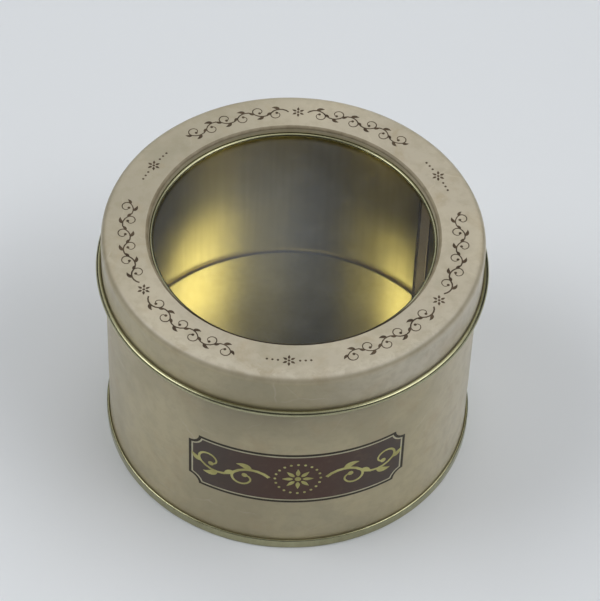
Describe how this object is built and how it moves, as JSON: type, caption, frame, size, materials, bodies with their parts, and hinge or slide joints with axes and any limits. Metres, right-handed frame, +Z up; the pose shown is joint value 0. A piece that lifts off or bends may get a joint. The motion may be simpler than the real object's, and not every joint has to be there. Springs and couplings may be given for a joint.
{
  "type": "window lid tin",
  "caption": "Round slip-lid tin with a clear window in its lid, rolled and curled tinplate edges and a double-seamed floor.",
  "frame": {"origin": "centre of the foot, on the plane that the tin stands on", "axes": "+Z up the tin's axis, -Y towards the front with the printed panel, +X to the right seen from the front"},
  "size_m": [0.1002, 0.1002, 0.0683],
  "materials": {
    "printed_tinplate": "satin",
    "gold_lacquer": "gloss",
    "clear_window": "gloss"
  },
  "bodies": {
    "tin_body": {"body_wall": "printed_tinplate", "bottom_end": "gold_lacquer"},
    "lid": {"lid_shell": "printed_tinplate", "window_pane": "clear_window", "window_retaining_ring": "gold_lacquer"}
  },
  "joints": [
    {"name": "lid_lift", "type": "slide", "parent": "tin_body", "child": "lid", "axis": [0, 0, 1], "range_m": [0, 0.06]}
  ]
}
